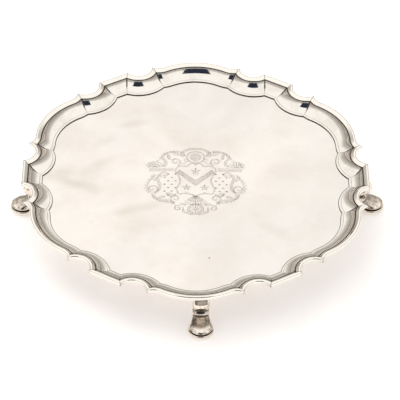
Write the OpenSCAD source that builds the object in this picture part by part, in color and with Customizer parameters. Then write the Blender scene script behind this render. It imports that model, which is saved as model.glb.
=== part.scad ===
// Footed serving salver with a shaped and moulded border, in millimetres.
// The salver stands on z = 0 and its centre line is the z axis.
// The border has six turns, and each turn is a straight, a bite, a crowned arc and a bite.
// Every border shape is drawn at an offset d inwards from the outer edge, so that all the
// mouldings run parallel and neighbouring sections meet on one mitre curve.

/* [Border plan] */
// Radius through the sharp corners of the arcs
salver_r = 160; // [135:1:200]
// How far the six straights lie inside that radius
straight_inset = 1.6; // [0.5:0.1:4]
// Length of each straight, corner to corner
straight_len = 32.3; // [24:0.1:40]
// Half of the angle that each arc takes, seen from the centre
arc_half_angle = 15.36; // [14:0.01:17]
// How far the crown of an arc stands outside the corner radius
crown_rise = 1.9; // [1:0.1:6]
// Radius of the crowned part of an arc
crown_r = 64; // [60:1:70]
// Radius of the reversed curve at each end of an arc
ear_r = 11.2; // [8:0.1:13]
// Depth of each bite, from its chord
bite_depth = 8.8; // [7:0.1:11]

/* [Height] */
// Height of the rim above the table
rim_h = 41; // [32:0.5:55]
// Depth from the rim down to the face of the plate
well_depth = 10.3; // [8.4:0.1:13]

/* [Plate] */
// Thickness of the plate
plate_t = 1.5; // [1:0.1:2.5]
// Depth of the seat that the border stands in
seat_depth = 0.3; // [0.1:0.05:0.5]
// How far the plate reaches under the border
seat_w = 3.9; // [2:0.1:5]
// Width of the seam between the border and the raised field of the plate
seam_w = 0.15; // [0.15:0.05:0.4]

/* [Border mouldings] */
// Width of the whole border, from the outer edge to the plate
border_w = 18.4; // [16:0.1:24]
// Width of the moulded edge strip
edge_w = 5.35; // [4.5:0.05:6.5]
// Height of the moulded edge strip
edge_h = 2.8; // [2:0.1:3.5]
// How far the cove's flange stays inside the edge strip
flange_inset = 0.5; // [0.2:0.1:1.5]
// Width of the groove between the edge strip and the cove
groove_w = 0.4; // [0.2:0.05:0.8]
// Thickness of the cast cove
cove_t = 1.2; // [0.8:0.1:1.6]
// Steepness of the cove at its top
cove_top_slope = 62; // [50:1:70]
// Steepness of the cove at its foot
cove_foot_slope = 10; // [4:1:16]
// Width of the flat fillet at the foot of the cove
fillet_w = 2.4; // [1.5:0.1:3.5]

/* [Feet] */
// How far the middle of each foot stands outside the corner radius
foot_splay = 0.8; // [-2:0.1:6]
// How far the square of feet is set off the salver's middle, to the right
feet_off_x = 2; // [-3:0.1:3]
// How far the square of feet is set off the salver's middle, to the back
feet_off_y = -1.4; // [-3:0.1:3]
// Turn of the four feet against the border's straights
foot_turn = 1.1; // [-3:0.1:3]
// Radius of the pad under each foot
pad_r = 11.5; // [9:0.1:14]
// Thickness of the pad
pad_t = 3.8; // [2.5:0.1:5]
// Radius of the toe that stands on the pad
toe_r = 10.4; // [8:0.1:11]
// Height of the toe above the pad
toe_h = 5.8; // [4.5:0.1:7]
// Width of the leg at the ankle
ankle_w = 13.6; // [11:0.1:15]
// Width of the leg at the knee
knee_w = 15.2; // [12:0.1:18]
// How far the front of the ankle stands behind the middle of the pad
ankle_set = 7; // [6:0.1:9]
// How far the front of the knee stands behind the middle of the pad
knee_set = 1.2; // [0:0.1:4]
// How far the back of the leg stands behind the middle of the pad, under the border
leg_back = 20.5; // [18:0.1:24]

/* [Hidden] */
$fn = 96;
TURNS = 6;                 // straights and arcs round the border
BITES = 2 * TURNS;
FEET = 4;
TURN = 360 / TURNS;
MITRE_STEPS = 4;           // straight pieces in one mitre curve
ARC_STEPS = 6;             // straight pieces in one curved moulding line
OVER = 4;                  // how far cutting shapes pass the metal

plate_z = rim_h - well_depth;            // face of the plate
plate_low = plate_z - plate_t;           // underside of the plate
seat_z = plate_z - seat_depth;           // seat of the border on the plate
edge_z = rim_h - edge_h;                 // joint of the edge strip and the cove
flange_low = edge_z - cove_t;            // underside of the cove's flange
foot_r = salver_r + foot_splay;          // middle of the feet

// Corners of one turn, with the straight's middle on +X and the arc's axis at half a turn.
function polar(r, a) = [r * cos(a), r * sin(a)];
apothem = salver_r - straight_inset;
straight_corner = [apothem, straight_len / 2];
arc_corner = polar(salver_r, TURN / 2 - arc_half_angle);

// The point where two circles meet, on the left (side = 1) or right (side = -1) of c1 to c2.
function meet(c1, r1, c2, r2, side) =
    let (v = c2 - c1, l = norm(v), a = (r1 * r1 - r2 * r2 + l * l) / (2 * l))
    c1 + a * v / l + side * sqrt(r1 * r1 - a * a) * [-v.y, v.x] / l;

// A bite is one circle through its two corners, with its centre outside the border.
bite_chord = arc_corner - straight_corner;
bite_half = norm(bite_chord) / 2;
bite_r = (bite_half * bite_half + bite_depth * bite_depth) / (2 * bite_depth);
bite_c = (arc_corner + straight_corner) / 2
    + (bite_r - bite_depth) * [bite_chord.y, -bite_chord.x] / norm(bite_chord);

// An arc is a crown circle with a reversed circle, the ear, running on from it at each end.
crown_c = polar(salver_r + crown_rise - crown_r, TURN / 2);
ear_c = meet(crown_c, crown_r + ear_r, arc_corner, ear_r, 1);
function mirrored(p) = let (q = p * [cos(TURN / 2), sin(TURN / 2)])
    2 * q * [cos(TURN / 2), sin(TURN / 2)] - p;

// The two mitre curves, at offset d from the outer edge.
function straight_mitre(d) = let (x = apothem - d, r = bite_r + d)
    [x, bite_c.y - sqrt(r * r - (x - bite_c.x) * (x - bite_c.x))];
function arc_mitre(d) = meet(ear_c, ear_r + d, bite_c, bite_r + d, -1);

// Each mitre as a line of points that starts just outside the metal and ends just inside it.
function past(p, q) = p + OVER * (p - q) / norm(p - q);
function mitre_line(pts) = concat([past(pts[0], pts[1])], pts);
straight_cut = mitre_line([for (i = [0:MITRE_STEPS]) straight_mitre(border_w * i / MITRE_STEPS)]);
arc_cut = mitre_line([for (i = [0:MITRE_STEPS]) arc_mitre(border_w * i / MITRE_STEPS)]);
function reversed(list) = [for (i = [len(list) - 1:-1:0]) list[i]];
function flipped(list) = [for (p = list) [p.x, -p.y]];

// Plan of the region that each kind of section fills.
straight_region = concat(flipped(straight_cut), [[0, 0]], reversed(straight_cut));
bite_region = concat(straight_cut, [[0, 0]], reversed(arc_cut));

// An arc's own frame has its axis on +X, and one half of it is drawn and mirrored.
function turned(p, a) = [p.x * cos(a) - p.y * sin(a), p.x * sin(a) + p.y * cos(a)];
arc_axis_r = salver_r + crown_rise;
own_ear_c = turned(ear_c, -TURN / 2);
own_arc_cut = [for (p = arc_cut) turned(p, -TURN / 2)];
half_arc_region = concat(own_arc_cut, [[arc_axis_r - crown_r, 0], [arc_axis_r + OVER, 0]]);
ear_bearing = atan2(-own_ear_c.y, arc_axis_r - crown_r - own_ear_c.x);
crown_sweep = 180 - ear_bearing;

// Points on the arc of radius r about c that runs from angle a to angle b.
function arc_points(c, r, a, b, steps = ARC_STEPS) =
    [for (i = [0:steps]) c + r * [cos(a + (b - a) * i / steps), sin(a + (b - a) * i / steps)]];

// Section through the edge strip, as [offset, height]: a flat outer face under a rolled top.
roll_r = 1.6;              // rounding of the outer edge
roll_drop = 1.1;           // height of that rounding
inner_lip = 1;             // height of the strip's inner face
edge_profile = [
    [0, edge_z],
    [0, rim_h - roll_drop],
    [roll_r * 0.25, rim_h - roll_drop * 0.36],
    [roll_r * 0.62, rim_h - roll_drop * 0.07],
    [roll_r, rim_h],
    [edge_w * 0.6, rim_h - edge_h * 0.14],
    [edge_w * 0.82, rim_h - edge_h * 0.36],
    [edge_w * 0.95, edge_z + inner_lip],
    [edge_w, edge_z]
];

// Section through the cove: a flange under the edge strip, a lip, the hollow and a flat fillet.
lip_x = edge_w + groove_w;
lip_h = 0.55;              // height of the lip over the flange
lip_w = 0.55;              // width of the lip
hollow_top = [lip_x + lip_w, edge_z + lip_h];
fillet_x = border_w - fillet_w;
fillet_h = 0.8;            // height of the fillet over the plate
fillet_fall = 0.4;         // fall of the fillet across its width
hollow_foot = [fillet_x - 0.2, plate_z + fillet_h + fillet_fall];
slope_turn = (cove_top_slope - cove_foot_slope) / 2;
hollow_run = hollow_foot - hollow_top;
hollow_mean = atan2(-hollow_run.y, hollow_run.x);
hollow_r = norm(hollow_run) / (2 * sin(slope_turn));
hollow_c = hollow_top + hollow_r * [sin(hollow_mean + slope_turn), cos(hollow_mean + slope_turn)];
back_r = hollow_r + cove_t;
back_top = 90 - acos((hollow_c.y - flange_low) / back_r);
back_foot = 90 - acos(min(1, (hollow_c.y - seat_z - 0.5) / back_r));
seat_x = border_w - seat_w;
back_line = arc_points(hollow_c, back_r, 180 + back_top, 180 + back_foot);
cove_profile = concat(
    [[flange_inset, flange_low], [flange_inset, edge_z], [lip_x, edge_z],
     [lip_x + lip_w * 0.4, edge_z + lip_h]],
    arc_points(hollow_c, hollow_r, 270 - hollow_mean - slope_turn, 270 - hollow_mean + slope_turn),
    [[fillet_x - 0.05, hollow_foot.y - 0.25],
     [fillet_x + 0.15, hollow_foot.y],
     [border_w - 0.3, plate_z + fillet_h],
     [border_w, plate_z + fillet_h - 0.3],
     [border_w, seat_z],
     [seat_x, seat_z]],
    reversed(back_line)
);

// Everything over the border's underside, which the legs are cut to.
over_profile = concat(
    [[-OVER, rim_h + OVER], [-OVER, flange_low]],
    back_line,
    [[seat_x, seat_z], [seat_x, plate_low], [2 * border_w, plate_low],
     [2 * border_w, rim_h + OVER]]
);

// Outline of the border at offset d, from the middle of one straight to the next.
function bearing(c, p) = atan2(p.y - c.y, p.x - c.x);
function nearest(a, b) = b + 360 * round((a - b) / 360);
function tangent_point(d) = ear_c + (ear_r + d) * (crown_c - ear_c) / norm(crown_c - ear_c);
function half_turn(d) = let (s = straight_mitre(d), a = arc_mitre(d), t = tangent_point(d))
    concat(
        arc_points(bite_c, bite_r + d, bearing(bite_c, s), bearing(bite_c, a) - 360, 8),
        arc_points(ear_c, ear_r + d, bearing(ear_c, a),
            nearest(bearing(ear_c, a), bearing(ear_c, t)), 4)
    );
function crown_line(d) = let (a = bearing(crown_c, tangent_point(d)))
    arc_points(crown_c, crown_r - d, a, TURN - a, 10);
function outline_turn(d) = let (half = half_turn(d))
    concat(half, crown_line(d), reversed([for (p = half) mirrored(p)]));
function outline(d) =
    [for (k = [0:TURNS - 1]) for (p = outline_turn(d)) turned(p, k * TURN)];

// A moulding's profile run along each kind of section, still untrimmed.
function to_micron(v) = round(v * 1000) / 1000;
function shifted(profile, x, side) = [for (p = profile) [x + side * to_micron(p.x), to_micron(p.y)]];
module run_round(c, r, side, profile) {
    translate([c.x, c.y, 0])
        rotate_extrude()
            polygon(shifted(profile, r, side));
}
module run_straight(profile) {
    translate([0, straight_len, 0])
        rotate([90, 0, 0])
            linear_extrude(2 * straight_len)
                polygon(shifted(profile, apothem, -1));
}
module region(points) {
    linear_extrude(rim_h + 2 * OVER)
        polygon(points);
}

// One section of a moulding, cut to its mitres. The straight lies across +X.
module straight_section(profile) {
    intersection() {
        run_straight(profile);
        region(straight_region);
    }
}
module bite_section(profile) {
    intersection() {
        run_round(bite_c, bite_r, 1, profile);
        region(bite_region);
    }
}
module half_arc(profile) {
    ear_sweep = 75;        // more than the ear turns before its mitre
    spare = 3;             // how far the crown is drawn past the middle before it is cut
    intersection() {
        translate([own_ear_c.x, own_ear_c.y, 0])
            rotate([0, 0, ear_bearing])
                union() {
                    rotate_extrude(angle = ear_sweep)
                        polygon(shifted(profile, ear_r, 1));
                    translate([ear_r + crown_r, 0, 0])
                        rotate([0, 0, 180])
                            rotate_extrude(angle = crown_sweep + spare)
                                polygon(shifted(profile, crown_r, -1));
                }
        region(half_arc_region);
    }
}
module arc_section(profile) {
    rotate([0, 0, TURN / 2]) union() {
        half_arc(profile);
        mirror([0, 1, 0]) half_arc(profile);
    }
}

// Bites 1 and 2 stand either side of the first straight, and so on round the border.
module placed_bite(i, profile) {
    rotate([0, 0, floor(i / 2) * TURN])
        mirror([0, i % 2 == 0 ? 1 : 0, 0])
            bite_section(profile);
}

// The flat plate, cut to the border's shape, with a seat round its edge for the border.
module plate() {
    color([0.93, 0.92, 0.90]) union() {
        translate([0, 0, plate_low])
            linear_extrude(plate_t)
                polygon(outline(border_w + seam_w));
        translate([0, 0, plate_low])
            linear_extrude(plate_t - seat_depth)
                polygon(outline(seat_x));
    }
}

// The cast cove, in mitred sections soldered to the seat.
module cove_straight(i) {
    color([0.86, 0.85, 0.83]) rotate([0, 0, (i - 1) * TURN]) straight_section(cove_profile);
}
module cove_arc(i) {
    color([0.80, 0.79, 0.77]) rotate([0, 0, (i - 1) * TURN]) arc_section(cove_profile);
}
module cove_bite(i) {
    color([0.74, 0.73, 0.71]) placed_bite(i, cove_profile);
}

// The moulded edge strip, in mitred sections soldered on the cove's flange.
module edge_straight(i) {
    color([0.90, 0.89, 0.87]) rotate([0, 0, (i - 1) * TURN]) straight_section(edge_profile);
}
module edge_arc(i) {
    color([0.84, 0.83, 0.81]) rotate([0, 0, (i - 1) * TURN]) arc_section(edge_profile);
}
module edge_bite(i) {
    color([0.78, 0.77, 0.75]) placed_bite(i, edge_profile);
}

// Leg i stands at a quarter turn from the last, starting beside the first straight.
module at_foot(i) {
    translate([feet_off_x, feet_off_y, 0])
        rotate([0, 0, foot_turn + (i - 1) * 360 / FEET])
            children();
}

// The toe is a dome over the pad, with a short upright rim.
toe_bevel = 0.3;           // bevel under the toe's rim
toe_rim = 1.4;             // top of the toe's rim
toe_profile = [
    [0, 0],
    [toe_r - toe_bevel, 0],
    [toe_r, toe_bevel],
    [toe_r, toe_rim],
    [toe_r * 0.94, toe_h * 0.42],
    [toe_r * 0.82, toe_h * 0.66],
    [toe_r * 0.64, toe_h * 0.87],
    [toe_r * 0.4, toe_h],
    [0, toe_h]
];
module toe() {
    translate([foot_r, 0, pad_t])
        rotate_extrude()
            polygon(toe_profile);
}

// The shank is drawn from the side and from the front, and is what the two views share.
leg_h = flange_low - pad_t;
function on_leg(set, share) = [foot_r - set, pad_t + share * leg_h];
bead = 1.6;                // how far the bead over the ankle stands forward
neck_set = ankle_set + 2.9;
over_share = 1.15;         // the shank is drawn past the border's underside and cut to it
shank_side = [
    on_leg(ankle_set - 5, 0.10),
    on_leg(ankle_set - 1.6, 0.22),
    on_leg(ankle_set, 0.265),
    on_leg(ankle_set - bead * 0.8, 0.29),
    on_leg(ankle_set - bead, 0.33),
    on_leg(ankle_set - bead * 0.6, 0.38),
    on_leg(neck_set, 0.415),
    on_leg(neck_set, 0.465),
    on_leg(neck_set - 2, 0.505),
    on_leg(knee_set + 2.4, 0.555),
    on_leg(knee_set + 0.6, 0.615),
    on_leg(knee_set, 0.70),
    on_leg(knee_set + 1, 0.79),
    on_leg(knee_set + 3, 0.88),
    on_leg(knee_set + 5.4, over_share),
    on_leg(leg_back, over_share),
    on_leg(leg_back - 0.8, 0.88),
    on_leg(leg_back - 2, 0.70),
    on_leg(leg_back - 4, 0.52),
    on_leg(leg_back - 5.4, 0.40),
    on_leg(leg_back - 7.5, 0.25),
    on_leg(leg_back - 10.5, 0.06)
];
function half_width(width, share) = [width / 2, pad_t + share * leg_h];
shank_right = [
    half_width(ankle_w + 2.4, 0.06),
    half_width(ankle_w + 0.6, 0.20),
    half_width(ankle_w, 0.265),
    half_width(ankle_w + 1.4, 0.30),
    half_width(ankle_w + 1.4, 0.36),
    half_width(ankle_w, 0.42),
    half_width(ankle_w, 0.46),
    half_width(knee_w, 0.555),
    half_width(knee_w, over_share)
];
module shank() {
    spare = 2;
    intersection() {
        rotate([90, 0, 0])
            linear_extrude(knee_w + ankle_w, center = true)
                polygon(shank_side);
        translate([foot_r - leg_back - spare, 0, 0])
            rotate([90, 0, 90])
                linear_extrude(leg_back + 2 * spare)
                    polygon(concat(shank_right, reversed([for (p = shank_right) [-p.x, p.y]])));
    }
}

// The border above a leg, which the knee is fitted to: a straight over every other leg, and
// the crown of an arc over the rest.
module over_leg(i) {
    rotate([0, 0, (i - 1) * 360 / FEET])
        if (i % 2 == 1) run_straight(over_profile);
        else run_round([arc_axis_r - crown_r, 0], crown_r, -1, over_profile);
}
module leg(i) {
    color([0.82, 0.78, 0.72]) difference() {
        at_foot(i) union() {
            toe();
            shank();
        }
        over_leg(i);
    }
}

// The pad is a low round-edged disc that the toe stands on.
pad_round = 0.9;           // how far the pad's edge is rounded in, above and below
pad_profile = [
    [0, 0],
    [pad_r - pad_round, 0],
    [pad_r - pad_round * 0.3, pad_t * 0.2],
    [pad_r, pad_t * 0.45],
    [pad_r - pad_round * 0.2, pad_t * 0.72],
    [pad_r - pad_round, pad_t],
    [0, pad_t]
];
module pad(i) {
    color([0.88, 0.86, 0.83])
        at_foot(i)
            translate([foot_r, 0, 0])
                rotate_extrude()
                    polygon(pad_profile);
}

function numbered(name, n) = [for (i = [1:n]) str(name, "_", i)];

plate();
for (i = [1:TURNS]) {
    cove_straight(i);
    cove_arc(i);
    edge_straight(i);
    edge_arc(i);
}
for (i = [1:BITES]) {
    cove_bite(i);
    edge_bite(i);
}
for (i = [1:FEET]) {
    leg(i);
    pad(i);
}
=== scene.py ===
import math

import bmesh
import bpy
from mathutils import Matrix, Quaternion, Vector


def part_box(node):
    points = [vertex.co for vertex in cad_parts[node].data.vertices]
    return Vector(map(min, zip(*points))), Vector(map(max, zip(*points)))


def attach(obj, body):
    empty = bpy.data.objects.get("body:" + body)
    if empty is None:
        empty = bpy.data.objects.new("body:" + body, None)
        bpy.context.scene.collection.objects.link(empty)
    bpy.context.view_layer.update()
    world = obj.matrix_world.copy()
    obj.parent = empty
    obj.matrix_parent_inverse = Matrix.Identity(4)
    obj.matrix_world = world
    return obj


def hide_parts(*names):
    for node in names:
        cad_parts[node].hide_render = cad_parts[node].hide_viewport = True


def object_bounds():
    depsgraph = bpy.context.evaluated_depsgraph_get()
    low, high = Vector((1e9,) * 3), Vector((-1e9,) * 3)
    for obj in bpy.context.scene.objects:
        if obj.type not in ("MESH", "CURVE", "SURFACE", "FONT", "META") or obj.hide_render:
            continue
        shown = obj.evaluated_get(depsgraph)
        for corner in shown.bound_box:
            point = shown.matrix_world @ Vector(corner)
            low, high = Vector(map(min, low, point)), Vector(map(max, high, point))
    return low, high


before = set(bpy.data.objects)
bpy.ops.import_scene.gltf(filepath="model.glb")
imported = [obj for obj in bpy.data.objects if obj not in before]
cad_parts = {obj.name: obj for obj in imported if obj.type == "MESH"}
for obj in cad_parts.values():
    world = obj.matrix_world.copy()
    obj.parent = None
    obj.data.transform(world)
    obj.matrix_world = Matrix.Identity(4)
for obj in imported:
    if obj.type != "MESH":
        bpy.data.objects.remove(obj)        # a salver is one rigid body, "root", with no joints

cad_box = [list(corner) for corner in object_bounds()]
MM = 0.001               # every size below is in millimetres until it is placed


# ---------------------------------------------------------------------------
# View: one long lens, well back from the table and looking down on the plate.
# The aim is turned by a few tenths of a degree, so the salver sits a little high.
# ---------------------------------------------------------------------------
rim_z = cad_box[1][2] / MM
sight_from = Quaternion((0, 0, 1), math.radians(-0.584)) @ Vector((0, -1, 0))
sight_elevation = math.radians(41.394)
camera_distance = 2121.5
lens_mm = 209.43
aim_offset = (4.23 / 2327, 26.94 / 2327)     # tangents, left of and above the middle
camera_roll = math.radians(0.98)

back = sight_from * math.cos(sight_elevation) + Vector((0, 0, math.sin(sight_elevation)))
camera_place = (Vector((0, 0, rim_z)) + back * camera_distance) * MM
camera_data = bpy.data.cameras.new("salver_view")
camera_data.lens = lens_mm
camera_data.clip_start = 0.1
camera = bpy.data.objects.new("salver_view", camera_data)
look = (-back).to_track_quat("-Z", "Y")
sight = Vector((-aim_offset[0], aim_offset[1], -1)).normalized()
look = look @ sight.rotation_difference(Vector((0, 0, -1)))
look = Quaternion(-back, -camera_roll) @ look
camera.matrix_world = Matrix.Translation(camera_place) @ look.to_matrix().to_4x4()
bpy.context.scene.collection.objects.link(camera)
bpy.context.scene.camera = camera


# ---------------------------------------------------------------------------
# Studio: a white table under a white tent, with a grey band low down and the
# dark mouth of the tent round the camera, which polished silver mirrors.
# ---------------------------------------------------------------------------
def srgb(code):
    """The linear colour of an sRGB hex code, as Blender's sockets want it."""
    parts = [int(code[i:i + 2], 16) / 255 for i in (1, 3, 5)]
    linear = [p / 12.92 if p <= 0.04045 else ((p + 0.055) / 1.055) ** 2.4 for p in parts]
    return (*linear, 1.0)


def add_node(tree, kind, inputs=None, **settings):
    """A new node with its settings, its input values and the links that feed it."""
    node = tree.nodes.new(kind)
    for key, value in settings.items():
        setattr(node, key, value)
    for socket, value in (inputs or {}).items():
        if isinstance(value, bpy.types.NodeSocket):
            tree.links.new(value, node.inputs[socket])
        else:
            node.inputs[socket].default_value = value
    return node


def new_material(name):
    """An empty node material, with its tree and its output."""
    material = bpy.data.materials.new(name)
    material.use_nodes = True
    material.node_tree.nodes.clear()
    return material, material.node_tree, material.node_tree.nodes.new("ShaderNodeOutputMaterial")


def new_object(name, mesh, material):
    """A named object at the origin, in the scene, with one material."""
    piece = bpy.data.objects.new(name, mesh)
    mesh.materials.append(material)
    bpy.context.scene.collection.objects.link(piece)
    return piece


bpy.context.scene.view_settings.view_transform = "Standard"

world = bpy.data.worlds.new("white_tent")
bpy.context.scene.world = world
world.use_nodes = True
tree = world.node_tree
tree.nodes.clear()
direction = add_node(tree, "ShaderNodeTexCoord").outputs["Generated"]
height = add_node(tree, "ShaderNodeSeparateXYZ", {"Vector": direction}).outputs["Z"]
tent = add_node(tree, "ShaderNodeValToRGB", {"Fac": height})
ramp = tent.color_ramp
ramp.elements[0].position, ramp.elements[0].color = 0.0, srgb("#3d342b")
ramp.elements[1].position, ramp.elements[1].color = 1.0, srgb("#fdfcfb")
for stop, code in ((0.03, "#685d52"), (0.07, "#979089"), (0.20, "#b2aeaa"), (0.40, "#c5c2bf"),
                   (0.49, "#e1deda"), (0.57, "#fbf9f7")):
    ramp.elements.new(stop).color = srgb(code)
glow = add_node(tree, "ShaderNodeBackground", {"Color": tent.outputs["Color"], "Strength": 1.08})
add_node(tree, "ShaderNodeOutputWorld", {"Surface": glow.outputs["Background"]})

table_material, tree, output = new_material("lit_white_acrylic_table")
paint = add_node(tree, "ShaderNodeBsdfPrincipled",
                 {"Base Color": srgb("#f6f4f1"), "Roughness": 0.7, "Specular IOR Level": 0.2,
                  "Emission Color": srgb("#fffbfb"), "Emission Strength": 0.36})
tree.links.new(paint.outputs["BSDF"], output.inputs["Surface"])
bm = bmesh.new()
bmesh.ops.create_grid(bm, x_segments=1, y_segments=1, size=4.0)
mesh = bpy.data.meshes.new("table_top")
bm.to_mesh(mesh)
bm.free()
new_object("table_top", mesh, table_material)

card_material, tree, output = new_material("tent_mouth")
shade = add_node(tree, "ShaderNodeEmission", {"Color": srgb("#2a3140"), "Strength": 1.0})
tree.links.new(shade.outputs["Emission"], output.inputs["Surface"])
card_w, card_h = 2500, 2700
card_elevation = math.radians(45)
bm = bmesh.new()
bmesh.ops.create_grid(bm, x_segments=1, y_segments=1, size=0.5)
card_from = sight_from * math.cos(card_elevation) + Vector((0, 0, math.sin(card_elevation)))
place = Matrix.Translation(card_from * 3.6) @ look.to_matrix().to_4x4()
bmesh.ops.transform(bm, matrix=place @ Matrix.Diagonal((card_w * MM, card_h * MM, 1, 1)), verts=bm.verts)
mesh = bpy.data.meshes.new("tent_mouth")
bm.to_mesh(mesh)
bm.free()
card = new_object("tent_mouth", mesh, card_material)
card.visible_camera = False

lamp = bpy.data.lights.new("window_softbox", "AREA")
lamp.shape = "RECTANGLE"
lamp.size, lamp.size_y = 1.6, 1.2
lamp.energy = 12
window = bpy.data.objects.new("window_softbox", lamp)
window_place = Vector((-0.9, 1.1, 1.7))
window_turn = window_place.to_track_quat("Z", "Y").to_matrix().to_4x4()
window.matrix_world = Matrix.Translation(window_place) @ window_turn
window.visible_glossy = False
bpy.context.scene.collection.objects.link(window)


# ---------------------------------------------------------------------------
# Plate: one sheet of sterling silver, hammered flat and cut to the shape of the
# border. The polished field has gone soft and cloudy with years of rubbing.
# ---------------------------------------------------------------------------
TURN = math.pi / 3                       # one straight, one arc and two bites
straight_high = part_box("edge_straight_1")[1] / MM
apothem = straight_high.x
corner_r = 160.0
arc_half_angle = math.radians(15.36)
crown_r = 64.0
crown_axis_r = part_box("edge_arc_2")[1].y / MM
ear_r = 11.2
bite_depth = 8.8
border_w = 18.4
seat_reach = 3.9
seat_drop = 0.3
plate_low, plate_high = [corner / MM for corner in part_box("plate")]
plate_z = plate_high.z
seat_z = plate_z - seat_drop


def polar(r, a):
    return Vector((r * math.cos(a), r * math.sin(a)))


def rotated(p, a):
    return Vector((p.x * math.cos(a) - p.y * math.sin(a), p.x * math.sin(a) + p.y * math.cos(a)))


def bearing(c, p):
    return math.atan2(p.y - c.y, p.x - c.x)


def circles_meet(c1, r1, c2, r2, side):
    """Where two circles meet, left (side 1) or right (side -1) of the way from c1 to c2."""
    v = c2 - c1
    along = (r1 * r1 - r2 * r2 + v.length_squared) / (2 * v.length)
    off = math.sqrt(r1 * r1 - along * along)
    return c1 + along * v.normalized() + side * off * Vector((-v.y, v.x)).normalized()


straight_corner = Vector((apothem, straight_high.y))
arc_corner = polar(corner_r, TURN / 2 - arc_half_angle)
chord = arc_corner - straight_corner
bite_r = (chord.length_squared / 4 + bite_depth ** 2) / (2 * bite_depth)
bite_c = (arc_corner + straight_corner) / 2
bite_c += (bite_r - bite_depth) * Vector((chord.y, -chord.x)).normalized()
crown_c = polar(crown_axis_r - crown_r, TURN / 2)
ear_c = circles_meet(crown_c, crown_r + ear_r, arc_corner, ear_r, 1)
crown_half = TURN / 2 - bearing(crown_c, ear_c)


def straight_mitre(d):
    x, r = apothem - d, bite_r + d
    return Vector((x, bite_c.y - math.sqrt(r * r - (x - bite_c.x) ** 2)))


def arc_mitre(d):
    return circles_meet(ear_c, ear_r + d, bite_c, bite_r + d, -1)


def straight_path(d, share, extra):
    """A point on the straight at offset d, at a share of its length plus some millimetres."""
    end = straight_mitre(d)
    return Vector((end.x, -end.y + 2 * end.y * share + extra))


def bite_path(d, share, extra):
    start = bearing(bite_c, straight_mitre(d))
    sweep = (bearing(bite_c, arc_mitre(d)) - start) % (2 * math.pi) - 2 * math.pi
    return bite_c + polar(bite_r + d, start + sweep * share - extra / (bite_r + d))


def arc_path(d, share, extra):
    """The arc at offset d: an ear, the crown and the other ear, which mirrors the first."""
    start = bearing(ear_c, arc_mitre(d))
    sweep = (bearing(ear_c, crown_c) - start + math.pi) % (2 * math.pi) - math.pi
    ear_len = (ear_r + d) * abs(sweep)
    half_len = ear_len + (crown_r - d) * crown_half
    s = 2 * half_len * share + extra
    if s > half_len:
        p = rotated(arc_path(d, 0, 2 * half_len - s), -TURN / 2)
        return rotated(Vector((p.x, -p.y)), TURN / 2)
    if s < ear_len:
        return ear_c + polar(ear_r + d, start + math.copysign(s / (ear_r + d), sweep))
    return crown_c + polar(crown_r - d, TURN / 2 - (half_len - s) / (crown_r - d))


def outline(d, straight_steps=4, bite_steps=16, arc_steps=36):
    """The whole border line at offset d, anticlockwise from the first straight."""
    points = []
    for k in range(6):
        run = [straight_path(d, i / straight_steps, 0) for i in range(straight_steps)]
        run += [bite_path(d, i / bite_steps, 0) for i in range(bite_steps)]
        run += [arc_path(d, i / arc_steps, 0) for i in range(arc_steps)]
        back_bite = [bite_path(d, 1 - i / bite_steps, 0) for i in range(bite_steps)]
        run += [rotated(Vector((p.x, -p.y)), TURN) for p in back_bite]
        points += [rotated(p, k * TURN) for p in run]
    return points


def fine_noise(tree, coords, scale, detail=3.0, stretch=(1, 1, 1)):
    """Noise whose scale is counted in cycles per metre of the object."""
    mapped = add_node(tree, "ShaderNodeMapping", {"Vector": coords, "Scale": stretch})
    noise = add_node(tree, "ShaderNodeTexNoise",
                     {"Vector": mapped.outputs["Vector"], "Scale": scale, "Detail": detail})
    return noise.outputs["Fac"]


def remap(tree, value, low, high, to_low=0.0, to_high=1.0):
    node = add_node(tree, "ShaderNodeMapRange",
                    {"Value": value, "From Min": low, "From Max": high,
                     "To Min": to_low, "To Max": to_high})
    return node.outputs["Result"]


def blend_colours(tree, factor, first, second):
    node = add_node(tree, "ShaderNodeMix", data_type="RGBA")
    for socket, value in ((0, factor), (6, first), (7, second)):
        if isinstance(value, bpy.types.NodeSocket):
            tree.links.new(value, node.inputs[socket])
        else:
            node.inputs[socket].default_value = value
    return node.outputs[2]


def math_node(tree, operation, first, second):
    return add_node(tree, "ShaderNodeMath", {0: first, 1: second}, operation=operation).outputs[0]


# Rubbed sterling: almost white and a little warm, with cloudy grey and yellow stains, a few
# dark pits, soft hammering under the polish and hair-fine scratches that catch the light.
plate_silver, tree, output = new_material("rubbed_sterling_plate")
coords = add_node(tree, "ShaderNodeTexCoord").outputs["Object"]
cloud = remap(tree, fine_noise(tree, coords, 26, 4), 0.42, 0.72)
veil = remap(tree, fine_noise(tree, coords, 11, 2, (1, 0.7, 1)), 0.40, 0.70)
stain = blend_colours(tree, cloud, srgb("#fdf7f0"), srgb("#f3ebe1"))
stain = blend_colours(tree, math_node(tree, "MULTIPLY", veil, 0.6), stain, srgb("#efebe6"))
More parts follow.
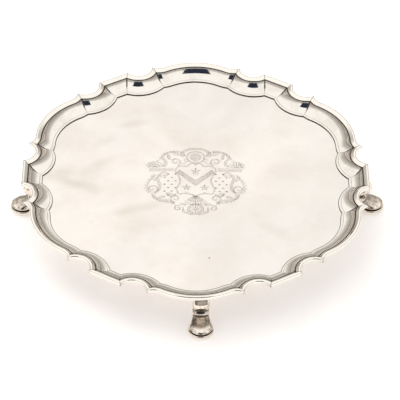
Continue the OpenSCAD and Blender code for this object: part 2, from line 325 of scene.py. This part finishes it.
# Each stain: middle and half lengths in millimetres, turn in degrees and strength.
stains = [(-112, -4, 34, 9, -20, 0.34), (-122, 12, 16, 12, 20, 0.25), (-88, 22, 24, 9, 35, 0.22),
          (-60, 80, 17, 9, 20, 0.25), (-86, 54, 20, 8, 40, 0.16), (-52, -36, 30, 9, 15, 0.25),
          (-64, -44, 12, 7, 0, 0.2), (71, -64, 26, 9, -30, 0.13), (12.4, -101.4, 0.9, 0.9, 0, 1.6)]
warp = add_node(tree, "ShaderNodeTexNoise", {"Vector": coords, "Scale": 55.0, "Detail": 4.0})
bend = add_node(tree, "ShaderNodeVectorMath", {0: warp.outputs["Color"], 1: (0.5, 0.5, 0.5)},
                operation="SUBTRACT")
for x, y, half_x, half_y, angle, strength in stains:
    a = math.radians(angle)
    spread = min(1.0, half_x / 10) * 0.012
    moved = add_node(tree, "ShaderNodeVectorMath",
                     {0: bend.outputs["Vector"], 1: (spread, spread, 0), 2: coords},
                     operation="MULTIPLY_ADD")
    near = add_node(tree, "ShaderNodeMapping",
                    {"Vector": moved.outputs["Vector"], "Location": (x * MM, y * MM, 0),
                     "Rotation": (0, 0, a), "Scale": (half_x * MM, half_y * MM, 1.0)},
                    vector_type="TEXTURE")
    flat = add_node(tree, "ShaderNodeVectorMath", {0: near.outputs["Vector"], 1: (1, 1, 0)},
                    operation="MULTIPLY")
    far = add_node(tree, "ShaderNodeVectorMath", {0: flat.outputs["Vector"]}, operation="LENGTH")
    smudge = remap(tree, far.outputs["Value"], 1.0, 0.2, 0.0, strength)
    stain = blend_colours(tree, smudge, stain, srgb("#cdbfb0" if half_x > 2 else "#5f5040"))
scratch = fine_noise(tree, coords, 900, 2, (1, 0.04, 1))
cross_scratch = fine_noise(tree, coords, 700, 2, (0.05, 1, 1))
rough = remap(tree, fine_noise(tree, coords, 60, 3), 0.3, 0.7, 0.20, 0.30)
marks = math_node(tree, "ADD", scratch, cross_scratch)
hammer = add_node(tree, "ShaderNodeBump",
                  {"Height": fine_noise(tree, coords, 34, 1), "Strength": 0.35, "Distance": 0.00025})
hair = add_node(tree, "ShaderNodeBump",
                {"Height": marks, "Normal": hammer.outputs["Normal"], "Strength": 0.03,
                 "Distance": 0.00005})
shader = add_node(tree, "ShaderNodeBsdfPrincipled",
                  {"Base Color": stain, "Metallic": 1.0, "Roughness": rough,
                   "Normal": hair.outputs["Normal"]})
tree.links.new(shader.outputs["BSDF"], output.inputs["Surface"])


def closed_mesh(bm, name):
    """The bent grid as a mesh: its seam joined, its ends filled and its normals outward."""
    bmesh.ops.remove_doubles(bm, verts=bm.verts, dist=1e-7)
    bmesh.ops.holes_fill(bm, edges=[e for e in bm.edges if e.is_boundary], sides=0)
    bmesh.ops.recalc_face_normals(bm, faces=bm.faces)
    mesh = bpy.data.meshes.new(name)
    bm.to_mesh(mesh)
    bm.free()
    return mesh


def grid_mesh(name, columns, rows, place):
    """A grid bent into a closed skin: place(column, row) gives each point in millimetres."""
    bm = bmesh.new()
    bmesh.ops.create_grid(bm, x_segments=columns, y_segments=rows, size=0.5)
    for vert in bm.verts:
        column = round((vert.co.x + 0.5) * columns)
        row = round((vert.co.y + 0.5) * rows)
        vert.co = Vector(place(column % columns, row)) * MM
    return closed_mesh(bm, name)


lip = 0.12
plate_rings = [(border_w + 0.02 + lip, plate_z), (border_w + 0.02, plate_z - lip),
               (border_w + 0.02, seat_z), (border_w - seat_reach, seat_z),
               (border_w - seat_reach, plate_low.z + lip), (border_w - seat_reach + lip, plate_low.z)]
plate_lines = [[(p.x, p.y, z) for p in outline(d)] for d, z in plate_rings]
mesh = grid_mesh("plate", len(plate_lines[0]), len(plate_rings) - 1,
                 lambda column, row: plate_lines[row][column])
plate = new_object("plate_sheet", mesh, plate_silver)
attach(plate, "root")
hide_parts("plate")


# ---------------------------------------------------------------------------
# Cove: the hollow moulding round the plate, cast in 24 short lengths that are
# mitred and soldered. Tarnish stays in the mitres; the groove, the seam and the crease
# at the fillet are darkened with tarnish and painted shade, a painted reflection darkens
# the cove's top, and the underside is painted dark as painted shade.
# ---------------------------------------------------------------------------
edge_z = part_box("edge_straight_1")[0].z / MM
cove_t = 1.2
flange_z = edge_z - cove_t
hollow_c = Vector((18.072, edge_z + 6.864))
hollow_r = 13.359
hollow_turn = (28.2, 80.2)               # degrees, from the lip to the foot
under_turn = (33.6, 76.6)
fillet = [(15.92, 31.66), (16.02, 31.78), (16.14, 31.93), (16.35, 31.99), (16.8, 31.93),
          (17.5, 31.75), (18.02, 31.6), (18.25, 31.48), (18.38, 31.25), (18.4, 31.0),
          (18.4, seat_z), (border_w - seat_reach, seat_z)]


def curve_points(c, r, turn, steps):
    angles = [math.radians(turn[0] + (turn[1] - turn[0]) * i / steps) for i in range(steps + 1)]
    return [(c.x - r * math.cos(a), c.y - r * math.sin(a)) for a in angles]


cove_section = [(0.5, flange_z), (0.5, edge_z), (3.0, edge_z), (5.6, edge_z), (5.76, edge_z + 0.02)]
cove_section += [(5.84, edge_z + 0.3), (5.94, edge_z + 0.5), (6.12, edge_z + 0.58)]
cove_section += curve_points(hollow_c, hollow_r, hollow_turn, 22)
cove_section += fillet
cove_section += reversed(curve_points(hollow_c, hollow_r + cove_t, under_turn, 10))


def inset_section(section, depth):
    """The section drawn a little smaller, for the chamfer at a mitre."""
    shrunk = []
    for i, p in enumerate(section):
        before, after = Vector(section[i - 1]), Vector(section[(i + 1) % len(section)])
        way = (after - before).normalized()
        shrunk.append(Vector(p) + depth * Vector((way.y, -way.x)))
    return shrunk


END_GAPS = (0.0, 0.1, 0.25, 0.5, 0.9, 1.5)     # millimetres from a mitre
mitre_chamfer = 0.13


def cove_tarnish_and_shade(d, z, gap, shows):
    """How dark a point is painted: tarnish at the mitres, tarnish with painted shade in the
    groove, the seam and the crease at the fillet, a painted reflection (haze) on the cove's top,
    and painted shade all over the underside.
    """
    # groove, seam and vee: tarnish with painted shade in the recesses
    groove = math.exp(-((d - 5.72) / 0.46) ** 2) if z > edge_z - 0.1 else 0.0
    # haze: a painted reflection, a broad darkening over the top of the cove
    haze = 0.26 * math.exp(-((d - 6.2) / 1.6) ** 2)
    seam = math.exp(-((border_w - d) / 0.34) ** 2) if z < plate_z + 0.95 else 0.0
    vee = 0.4 * math.exp(-((d - 15.93) / 0.16) ** 2)
    fade = 1.0 if d < 10 else max(0.2, 1 - (d - 10) / 7)
    mitre = fade * math.exp(-(gap / (0.76 if d < 11 else 0.46)) ** 2)
    # columns that don't show (the underside) are painted fully dark as painted shade
    return max(groove, haze, seam, vee, mitre) if shows else 1.0


def section_object(name, path, section, shares, painted_shade_and_tarnish, spin_angle, mirrored, material):
    """One mitred length of moulding: its section carried along the path, with chamfered ends."""
    shrunk = inset_section(section, mitre_chamfer)
    stations = [(0.0, gap) for gap in END_GAPS] + [(share, 0.0) for share in shares]
    stations += [(1.0, -gap) for gap in reversed(END_GAPS)]
    last = len(stations) - 1

    def place(column, row):
        d, z = shrunk[column] if row in (0, last) else section[column]
        p = path(d, *stations[row])
        if mirrored:
            p = Vector((p.x, -p.y))
        p = rotated(p, spin_angle)
        return (p.x, p.y, z)

    columns = len(section)
    bm = bmesh.new()
    bmesh.ops.create_grid(bm, x_segments=columns, y_segments=last, size=0.5)
    tarnish_and_shade = bm.verts.layers.float.new("tarnish_and_shade")
    for vert in bm.verts:
        column = round((vert.co.x + 0.5) * columns) % columns
        row = round((vert.co.y + 0.5) * last)
        share, gap = stations[row]
        gap = abs(gap) if share in (0.0, 1.0) else 9.0
        d, z = section[column]
        vert.co = Vector(place(column, row)) * MM
        # per-vertex tarnish with painted shade
        vert[tarnish_and_shade] = painted_shade_and_tarnish(d, z, gap, column)
    mesh = closed_mesh(bm, name)
    mesh.shade_smooth()
    mesh.set_sharp_from_angle(angle=math.radians(38))
    piece = new_object(name, mesh, material)
    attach(piece, "root")
    return piece


def silver_with_tarnish_and_shade(name, bright, film, roughness, film_share, patch_scale=75):
    """Polished cast silver: bright on the high parts, a brown film in patches, dark tarnish
    where a cloth can't reach together with painted shade in hollows, creases and under the border,
    from a per-vertex attribute, and fine wiping scratches along and across."""
    material, tree, output = new_material(name)
    coords = add_node(tree, "ShaderNodeTexCoord").outputs["Object"]
    # the attribute holds tarnish and painted shade together
    painted_shade_and_tarnish = add_node(tree, "ShaderNodeAttribute", attribute_name="tarnish_and_shade").outputs["Fac"]
    grain = fine_noise(tree, coords, 700, 3)
    patches = remap(tree, fine_noise(tree, coords, patch_scale, 4), 0.48, 0.66, 0.0, film_share)
    base = blend_colours(tree, patches, srgb(bright), srgb(film))
    # painted shade and tarnish darken the base to dark brown
    grainy_shade_and_tarnish = math_node(tree, "MULTIPLY", painted_shade_and_tarnish, remap(tree, grain, 0.25, 0.65, 0.72, 1.25))
    depth = remap(tree, grainy_shade_and_tarnish, 0.16, 0.80)
    base = blend_colours(tree, depth, base, srgb("#463427"))
    rough = math_node(tree, "MAXIMUM", remap(tree, depth, 0.0, 1.0, roughness, 0.55), roughness)
    wave = add_node(tree, "ShaderNodeBump",
                    {"Height": fine_noise(tree, coords, 120, 1), "Strength": 0.25, "Distance": 0.00012})
    hair = add_node(tree, "ShaderNodeBump",
                    {"Height": fine_noise(tree, coords, 1500, 2, (1, 0.2, 1)), "Strength": 0.10,
                     "Distance": 0.00003, "Normal": wave.outputs["Normal"]})
    shader = add_node(tree, "ShaderNodeBsdfPrincipled",
                      {"Base Color": base, "Metallic": 1.0, "Roughness": rough,
                       "Normal": hair.outputs["Normal"]})
    tree.links.new(shader.outputs["BSDF"], output.inputs["Surface"])
    return material


cove_silver = silver_with_tarnish_and_shade("polished_cast_cove", "#f5f0e8", "#cfc3b3", 0.08, 0.25)
straight_shares = [i / 8 for i in range(1, 8)]
bite_shares = [i / 16 for i in range(1, 16)]
arc_shares = [i / 36 for i in range(1, 36)]
top_columns = len(cove_section) - 12     # the columns above the seat and the back


def border_set(prefix, section, painted_shade_and_tarnish, material):
    """All 24 lengths of one moulding, each in its place round the border."""
    runs = [("straight", straight_path, straight_shares, 6), ("arc", arc_path, arc_shares, 6),
            ("bite", bite_path, bite_shares, 12)]
    for kind, path, shares, count in runs:
        for i in range(1, count + 1):
            spin_angle = (i // 2 if kind == "bite" else i - 1) * TURN
            name = f"{prefix}_{kind}_{i}"
            piece = section_object(f"{name}_moulding", path, section, shares, painted_shade_and_tarnish, spin_angle,
                                   kind == "bite" and i % 2 == 0, material)
            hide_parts(name)


# the cove's underside columns are painted dark as painted shade
border_set("cove", cove_section,
           lambda d, z, gap, column: cove_tarnish_and_shade(d, z, gap, column < top_columns),
           cove_silver)


# ---------------------------------------------------------------------------
# Edge strip: a rolled and ogee-sided strip cast in 24 lengths and soldered on
# the cove's flange, with its crest polished bright by handling.
# ---------------------------------------------------------------------------
edge_w = 5.35
rim = rim_z


def bezier(p0, p1, p2, p3, steps):
    curve = []
    for i in range(steps + 1):
        t = i / steps
        u = 1 - t
        weights = (u ** 3, 3 * u * u * t, 3 * u * t * t, t ** 3)
        curve.append(tuple(sum(w * p[k] for w, p in zip(weights, (p0, p1, p2, p3))) for k in (0, 1)))
    return curve


edge_section = [(0.1, edge_z), (0.0, edge_z + 0.12), (0.0, edge_z + 0.8)]
edge_section += bezier((0.0, rim - 1.6), (0.0, rim - 0.6), (0.7, rim - 0.05), (1.9, rim), 10)
edge_section += bezier((1.9, rim), (2.3, rim), (2.5, rim - 0.12), (2.7, rim - 0.3), 5)[1:]
edge_section += bezier((2.7, rim - 0.3), (3.6, rim - 0.9), (4.7, rim - 1.5), (edge_w, rim - 2.2), 9)[1:]
edge_section += [(edge_w, edge_z + 0.5), (edge_w, edge_z)]


# Tarnish with painted shade in the groove at the strip's inner foot and along its outer foot on the flange;
# tarnish at the mitres.
def edge_tarnish_and_shade(d, z, gap, column):
    groove = math.exp(-((edge_w - d) / 0.36) ** 2) if z < rim - 1.2 and d > 3 else 0.0
    below = 0.5 * math.exp(-((z - edge_z) / 0.35) ** 2) if d < 1 else 0.0
    return max(groove, below, 0.8 * math.exp(-(gap / 0.28) ** 2))


edge_silver = silver_with_tarnish_and_shade("bright_rolled_edge", "#faf5ec", "#ddd3c5", 0.06, 0.15)
border_set("edge", edge_section, edge_tarnish_and_shade, edge_silver)


# ---------------------------------------------------------------------------
# Legs: four castings, each a round toe that runs back to a narrow ankle, a bead, a
# neck and a square knee soldered under the border. Brown patches mottle the silver, and painted
# shade with tarnish darkens the foot of the toe, the ankle, the recess under the knee and the
# knee's top under the border.
# ---------------------------------------------------------------------------
foot_turn = math.radians(1.1)
pad_boxes = [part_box(f"pad_{index}") for index in range(1, 5)]
pad_middles = [((low + high) / 2 / MM).xy for low, high in pad_boxes]
pad_r = (pad_boxes[0][1].x - pad_boxes[0][0].x) / MM / 2
pad_z = pad_boxes[0][1].z / MM
leg_around = 48
# Each ring: height over the pad, how far its front and its back stand in from the pad's middle,
# half width, squareness (2 is round) and darkness: tarnish with painted shade in the hollows and under the
# border.
leg_rings = [
    (-0.05, -9.3, 9.3, 9.3, 2.0, 1.0), (1.3, -9.1, 9.1, 9.1, 2.0, 1.0),
    (1.6, -9.8, 9.8, 9.8, 2.0, 1.0), (1.9, -10.2, 10.2, 10.2, 2.0, 0.6),
    (2.15, -10.3, 10.3, 10.3, 2.0, 0.0), (2.6, -10.1, 10.3, 10.1, 2.0, 0.0),
    (3.2, -9.4, 10.5, 9.7, 2.0, 0.0), (4.0, -8.0, 10.9, 9.1, 2.0, 0.05),
    (4.7, -6.2, 11.2, 8.6, 2.0, 0.2), (5.5, -3.4, 11.8, 8.1, 2.0, 0.34),
    (6.4, 0.2, 12.3, 7.5, 2.0, 0.38), (7.7, 4.2, 12.9, 7.0, 2.1, 0.4),
    (8.7, 6.4, 13.2, 6.8, 2.2, 0.7), (9.4, 5.6, 13.6, 7.3, 2.3, 0.15),
    (10.6, 5.2, 14.1, 7.5, 2.4, 0.0), (12.2, 5.9, 14.8, 7.4, 2.6, 0.05),
    (13.6, 9.2, 15.3, 6.9, 2.8, 0.8), (15.2, 10.0, 15.8, 6.8, 3.0, 0.8),
    (16.8, 7.9, 16.4, 7.2, 3.4, 0.4), (18.4, 3.8, 16.9, 7.5, 3.8, 0.05),
    (20.4, 2.0, 17.4, 7.6, 4.0, 0.0), (23.2, 1.2, 18.5, 7.6, 4.2, 0.0),
    (26.2, 2.2, 19.2, 7.6, 4.2, 0.05), (29.2, 4.2, 19.7, 7.6, 4.0, 0.25),
    (31.2, 5.0, 20.0, 7.6, 4.0, 0.7), (33.4, 5.6, 20.1, 7.6, 4.0, 1.0),
]
leg_silver = silver_with_tarnish_and_shade("mottled_cast_foot", "#f2e9dc", "#76563d", 0.09, 0.6, 300)


def under_border(p, index):
    """Height of the cove's underside over a point near a leg."""
    d = apothem - abs(p.x)
    if index % 2 == 0:
        d = crown_r - (Vector((0, crown_axis_r - crown_r)) - Vector((p.x, abs(p.y)))).length
    if d > border_w - seat_reach:
        return plate_low.z
    across = min(1.0, max(0.0, (hollow_c.x - d) / (hollow_r + cove_t)))
    return min(flange_z, hollow_c.y - (hollow_r + cove_t) * math.sqrt(1 - across ** 2))


for index in range(1, 5):
    facing = foot_turn + (index - 1) * math.pi / 2

    def leg_point(column, row):
        rise, front, back, half_w, square, _ = leg_rings[row]
        half_d = (back - front) / 2
        a = 2 * math.pi * column / leg_around
        c, s = math.cos(a), math.sin(a)
        size = (abs(c) ** square + abs(s) ** square) ** (-1 / square)
        p = rotated(Vector((half_d * size * c - (front + back) / 2, half_w * size * s)), facing)
        p += pad_middles[index - 1]
        return (p.x, p.y, min(pad_z + rise, under_border(p, index) + 0.2))

    bm = bmesh.new()
    rows = len(leg_rings) - 1
    bmesh.ops.create_grid(bm, x_segments=leg_around, y_segments=rows, size=0.5)
    tarnish_and_shade = bm.verts.layers.float.new("tarnish_and_shade")
    for vert in bm.verts:
        column = round((vert.co.x + 0.5) * leg_around) % leg_around
        row = round((vert.co.y + 0.5) * rows)
        vert.co = Vector(leg_point(column, row)) * MM
        # painted shade with tarnish, from the ring table
        vert[tarnish_and_shade] = leg_rings[row][5]
    mesh = closed_mesh(bm, f"leg_{index}_casting")
    mesh.shade_smooth()
    mesh.set_sharp_from_angle(angle=math.radians(50))
    leg = new_object(f"leg_{index}_casting", mesh, leg_silver)
    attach(leg, "root")
    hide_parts(f"leg_{index}")


# ---------------------------------------------------------------------------
# Pads: a round-edged cast disc under each toe, with its top painted dark round the toe:
# a tarnished seam where the toe is soldered on, and painted shade in the groove there.
# ---------------------------------------------------------------------------
pad_silver = silver_with_tarnish_and_shade("polished_pad", "#f6eee2", "#bfae99", 0.08, 0.2)
pad_profile = [(0, 0)] + bezier((pad_r - 0.9, 0.0), (pad_r - 0.1, 0.3), (pad_r, 0.9), (pad_r, 1.8), 7)
pad_profile += bezier((pad_r, 1.8), (pad_r, 2.8), (pad_r - 0.5, pad_z), (pad_r - 1.3, pad_z), 7)[1:]
pad_profile += [(9.8, pad_z), (9.6, pad_z), (0, pad_z)]
for index in range(1, 5):
    bm = bmesh.new()
    tarnish_and_shade = bm.verts.layers.float.new("tarnish_and_shade")
    rim_line = [bm.verts.new((x * MM, 0, z * MM)) for x, z in pad_profile]
    for vert, (x, z) in zip(rim_line, pad_profile):
        # painted shade and tarnish on the pad's top round the toe
        vert[tarnish_and_shade] = 1.0 if x < pad_r - 1.4 and z > 1 else 0.0
    edges = [bm.edges.new(pair) for pair in zip(rim_line, rim_line[1:])]
    bmesh.ops.spin(bm, geom=rim_line + edges, cent=(0, 0, 0), axis=(0, 0, 1),
                   angle=2 * math.pi, steps=64, use_merge=True)
    bmesh.ops.remove_doubles(bm, verts=bm.verts, dist=1e-7)
    bmesh.ops.recalc_face_normals(bm, faces=bm.faces)
    middle = pad_middles[index - 1] * MM
    bmesh.ops.translate(bm, vec=(middle.x, middle.y, 0), verts=bm.verts)
    mesh = bpy.data.meshes.new(f"pad_{index}_disc")
    bm.to_mesh(mesh)
    bm.free()
    mesh.shade_smooth()
    mesh.set_sharp_from_angle(angle=math.radians(45))
    pad = new_object(f"pad_{index}_disc", mesh, pad_silver)
    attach(pad, "root")
    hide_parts(f"pad_{index}")


# ---------------------------------------------------------------------------
# Engraving: a plain cartouche in the middle of the plate. A shield
# with a hatched band and three stars stands between diapered side panels, in a
# frame of scrolls, leaves and shells. Each line is a thin dark stroke on the face.
# ---------------------------------------------------------------------------
line_half = 0.17
line_height = 0.03         # how far a stroke stands up from the plate


def smooth_line(points, steps=5):
    """A curve through the points, rounded between them."""
    ends = [points[0]] + list(points) + [points[-1]]
    curve = []
    for p0, p1, p2, p3 in zip(ends, ends[1:], ends[2:], ends[3:]):
        for i in range(steps):
            t = i / steps
            curve.append(tuple(0.5 * (2 * b + (c - a) * t + (2 * a - 5 * b + 4 * c - d) * t * t
                                      + (3 * b - a - 3 * c + d) * t ** 3)
                               for a, b, c, d in zip(p0, p1, p2, p3)))
    return curve + [points[-1]]


def arc_line(x, y, r, start, end, squash=1.0, steps=None):
    steps = steps or max(6, int(abs(end - start) / 18))
    angles = [math.radians(start + (end - start) * i / steps) for i in range(steps + 1)]
    return [(x + r * math.cos(a), y + r * squash * math.sin(a)) for a in angles]


def scroll_line(x, y, r_out, r_in, start, end):
    """A spiral that winds in from its outer radius."""
    steps = int(abs(end - start) / 20)
    line = []
    for i in range(steps + 1):
        t = i / steps
        a = math.radians(start + (end - start) * t)
        r = r_out + (r_in - r_out) * t
        line.append((x + r * math.cos(a), y + r * math.sin(a)))
    return line


def beside(line, gap):
    """The same line drawn again at one side."""
    drawn = []
    for i, p in enumerate(line):
        a, b = Vector(line[max(0, i - 1)]), Vector(line[min(len(line) - 1, i + 1)])
        way = (b - a).normalized()
        drawn.append((p[0] - gap * way.y, p[1] + gap * way.x))
    return drawn


def star(x, y, r, points=5):
    corners = []
    for i in range(2 * points + 1):
        a = math.pi / 2 + i * math.pi / points
        reach = r if i % 2 == 0 else r * 0.42
        corners.append((x + reach * math.cos(a), y + reach * math.sin(a)))
    rays = [[(x, y), corners[i]] for i in range(0, 2 * points, 2)]
    return [corners] + rays


def leaf(x, y, length, width, angle):
    """A pointed leaf with a midrib, growing from (x, y)."""
    a = math.radians(angle)
    shape = [(0, 0), (0.3, 0.85), (0.6, 0.8), (1, 0)]

    def turned_to(u, v):
        return (x + u * math.cos(a) - v * math.sin(a), y + u * math.sin(a) + v * math.cos(a))

    sides = []
    for side in (1, -1):
        sides.append(smooth_line([turned_to(u * length, side * v * width) for u, v in shape], 4))
    return sides + [[turned_to(0, 0), turned_to(length * 0.7, 0)]]


def lobes(path, count, r):
    """Little half rounds along a curve, like the edge of an acanthus leaf."""
    lines = []
    for i in range(count):
        k = (i + 0.5) * (len(path) - 1) / count
        p, q = path[int(k)], path[min(len(path) - 1, int(k) + 1)]
        facing = math.degrees(math.atan2(q[1] - p[1], q[0] - p[0]))
        lines.append(arc_line(p[0], p[1], r, facing - 10, facing + 200, steps=6))
    return lines


def fan(x, y, r, start, end, petals):
    """A shell: rays from one point, each pair closed by a little arc."""
    lines = []
    step = (end - start) / petals
    for i in range(petals + 1):
        a = math.radians(start + i * step)
        lines.append([(x + 0.2 * r * math.cos(a), y + 0.2 * r * math.sin(a)),
                      (x + r * math.cos(a), y + r * math.sin(a))])
    for i in range(petals):
        a = math.radians(start + (i + 0.5) * step)
        rim_r = r * math.sin(math.radians(abs(step) / 2))
        middle = (x + r * math.cos(a), y + r * math.sin(a))
        lines.append(arc_line(*middle, rim_r, math.degrees(a) - 90, math.degrees(a) + 90, steps=5))
    return lines


right = []                               # the right half; the left mirrors it
shield_side = smooth_line([(16.6, 19.2), (18.2, 14.5), (15.0, 7.0), (13.6, 0.5), (15.2, -5.5),
                           (17.0, -10.5), (15.2, -17.0)])
shield_top = smooth_line([(0, 22.5), (3.5, 24.8), (8.0, 20.6), (12.5, 21.2), (16.6, 19.2)])
shield_foot = smooth_line([(15.2, -17.0), (9.0, -16.0), (3.8, -17.2), (0, -19.4)])
for line in (shield_top, shield_side, shield_foot):
    right += [line, beside(line, 0.9)]
band_in, band_out = [(15.4, 16.6), (0, 1.4)], [(17.2, 12.4), (0, -5.8)]
right += [band_in, band_out]
for k in range(1, 5):
    right.append([tuple(a + (b - a) * k / 5 for a, b in zip(p, q)) for p, q in zip(band_in, band_out)])
right += star(8.2, -8.4, 4.1)
right += [arc_line(8.2, -13.6, 1.5, 200, 340), arc_line(0, 8.2, 1.8, 0, 90)]
for row in range(7):
    y = 10.0 - 4.7 * row
    for k in range(3):
        x = 18.6 + 6.6 * k + (3.3 if row % 2 else 0)
        if x < 31.5 - (2.5 if row < 1 else 0) and (x > 17 + (1.5 if row > 3 else 0)):
            right.append([(x - 1.1, y), (x, y - 0.8), (x + 1.1, y), (x, y + 0.8), (x - 1.1, y)])
            right.append([(x - 0.6, y), (x, y - 0.4), (x + 0.6, y), (x, y + 0.4), (x - 0.6, y)])
curl = scroll_line(28.4, 9.2, 5.0, 0.8, -60, 420)
right += [curl, scroll_line(28.4, 9.2, 3.9, 0.8, -60, 300)]
outer = smooth_line([(33.4, 9.2), (34.8, 4.6), (33.8, -0.6), (32.6, -6.0), (33.4, -11.6), (36.6, -15.6)])
right += [outer, beside(outer, 1.0), beside(outer, -1.0)]
right += [scroll_line(39.6, -10.4, 6.2, 1.0, 235, -190), scroll_line(39.6, -10.4, 5.0, 1.0, 235, -130)]
leafy_side = smooth_line([(37.2, -17.4), (43.0, -16.0), (46.2, -10.6), (45.6, -3.0), (42.6, 3.6),
                          (38.4, 10.6)])
right += lobes(leafy_side, 9, 1.7) + [beside(leafy_side, 2.4)]
right += leaf(36.6, 0.6, 7.6, 1.8, 62)
for y in (14.4, 18.2):
    right.append([(20.0, y), (42.6, y - 0.5)])
for k in range(10):
    right.append(arc_line(21.5 + 2.25 * k, 16.2 - 0.04 * k, 0.85, 0, 360, steps=6))
right += fan(37.6, 18.8, 7.2, 15, 165, 6) + fan(37.6, 18.8, 4.4, 15, 165, 6)
leafy_top = smooth_line([(44.6, 18.6), (42.0, 25.0), (35.6, 28.6), (32.6, 33.8), (27.6, 39.6), (18.6, 43.2)])
right += lobes(leafy_top, 9, 1.6)
big_c = smooth_line([(30.4, 20.4), (27.4, 23.6), (28.6, 29.0), (31.0, 32.4), (28.6, 37.6), (22.4, 40.8),
                     (16.0, 41.6)])
right += [big_c, beside(big_c, 1.1), beside(big_c, -1.1)]
right += [scroll_line(18.6, 27.2, 5.8, 0.9, 250, -230), scroll_line(18.6, 27.2, 4.6, 0.9, 250, -150)]
right += leaf(24.0, 31.4, 6.2, 1.6, 70) + [arc_line(22.6, 33.4, 3.4, 200, 420)]
right += fan(15.6, 35.6, 5.0, 20, 200, 6)
crest = smooth_line([(0, 46.6), (5.6, 46.2), (10.6, 43.6), (13.6, 39.4), (11.4, 35.0)])
right += [crest, beside(crest, -1.1), beside(crest, -2.2)]
inner_top = smooth_line([(0, 41.4), (5.2, 39.6), (7.4, 34.6), (6.2, 29.4), (2.2, 26.6), (0, 26.2)])
right += [inner_top, beside(inner_top, 0.9)]
for k in range(-4, 5):
    x0, x1 = -6.0, 6.0
    for slope in (1, -1):
        places = [x0 + (x1 - x0) * i / 24 for i in range(25)]
        inside = [(x, 34 + slope * x + 3.1 * k) for x in places]
        inside = [p for p in inside if (p[0] / 5.8) ** 2 + ((p[1] - 34) / 6.2) ** 2 < 1 and p[0] >= 0]
        if len(inside) > 1:
            right.append([inside[0], inside[-1]])
right += [scroll_line(8.8, 30.2, 2.9, 0.6, 200, 560), smooth_line([(8.0, 26.6), (11.0, 24.6), (14.0, 24.6)])]
low_band = smooth_line([(39.0, -17.6), (36.6, -22.6), (31.0, -25.6), (25.0, -26.4), (19.4, -29.6)])
right += [low_band, beside(low_band, 1.2), beside(low_band, -1.2)]
right += [scroll_line(18.2, -23.4, 5.9, 0.9, 280, 760), scroll_line(18.2, -23.4, 4.7, 0.9, 280, 660)]
leafy_foot = smooth_line([(19.4, -31.6), (25.6, -29.6), (32.6, -28.0), (38.0, -23.6), (40.4, -18.6)])
right += lobes(leafy_foot, 8, 1.5) + leaf(27.6, -20.6, 6.4, 1.6, -14)
right += fan(24.8, -20.6, 4.2, 60, 190, 5)
right += fan(0, -18.4, 12.6, 270, 318, 4) + fan(0, -18.4, 8.4, 270, 318, 4)
right += [arc_line(0, -37.2, r, -90, 90, steps=10) for r in (7.4, 6.3)]
right += fan(0, -37.2, 4.4, -90, 90, 5)
right += [scroll_line(15.8, -36.4, 4.5, 0.7, 120, -340), scroll_line(15.8, -36.4, 3.5, 0.7, 120, -250)]
right += leaf(8.0, -31.6, 6.2, 1.5, 8) + [arc_line(9.6, -40.2, 2.6, 150, 430)]
foot_scroll = smooth_line([(2.4, -45.4), (7.4, -43.8), (11.4, -39.6), (12.0, -35.0)])
right += [foot_scroll, beside(foot_scroll, 0.9)]
middle = star(0, 14.2, 4.6) + [[(0, -19.4), (0, -30.4)]]


def engraved(name, strokes):
    """Every stroke as a low rounded line, in one mesh that lies on the plate's face."""
    curve = bpy.data.curves.new(name, "CURVE")
    curve.dimensions = "3D"
    curve.bevel_depth = line_half * MM
    curve.bevel_resolution = 1
    curve.use_fill_caps = True
    for stroke in strokes:
        spline = curve.splines.new("POLY")
        spline.points.add(len(stroke) - 1)
        for point, (x, y) in zip(spline.points, stroke):
            point.co = (x * MM, y * MM, 0, 1)
    source = bpy.data.objects.new(name, curve)
    mesh = bpy.data.meshes.new_from_object(source)
    bpy.data.objects.remove(source)
    bm = bmesh.new()
    bm.from_mesh(mesh)
    bmesh.ops.remove_doubles(bm, verts=bm.verts, dist=1e-7)
    bmesh.ops.scale(bm, vec=(1, 1, line_height / line_half), verts=bm.verts)
    bmesh.ops.translate(bm, vec=(0, 0, plate_z * MM), verts=bm.verts)
    bmesh.ops.recalc_face_normals(bm, faces=bm.faces)
    bm.to_mesh(mesh)
    bm.free()
    piece = new_object(name, mesh, painted_stroke_silver)
    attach(piece, "root")


# The strokes are painted grey-brown, as painted shade and old polish in a cut would make them, with painted
# glints here and there.
painted_stroke_silver, tree, output = new_material("engraved_line_painted_shade")
coords = add_node(tree, "ShaderNodeTexCoord").outputs["Object"]
# painted glints: random lighter spots in the strokes
painted_glint = remap(tree, fine_noise(tree, coords, 400, 2), 0.35, 0.65)
colour = blend_colours(tree, painted_glint, srgb("#7f7060"), srgb("#c9bcad"))
shader = add_node(tree, "ShaderNodeBsdfPrincipled",
                  {"Base Color": colour, "Metallic": 1.0, "Roughness": 0.38})
tree.links.new(shader.outputs["BSDF"], output.inputs["Surface"])
engraved("engraved_cartouche_right", right)
engraved("engraved_cartouche_left", [[(-x, y) for x, y in line] for line in right])
engraved("engraved_cartouche_middle", middle)
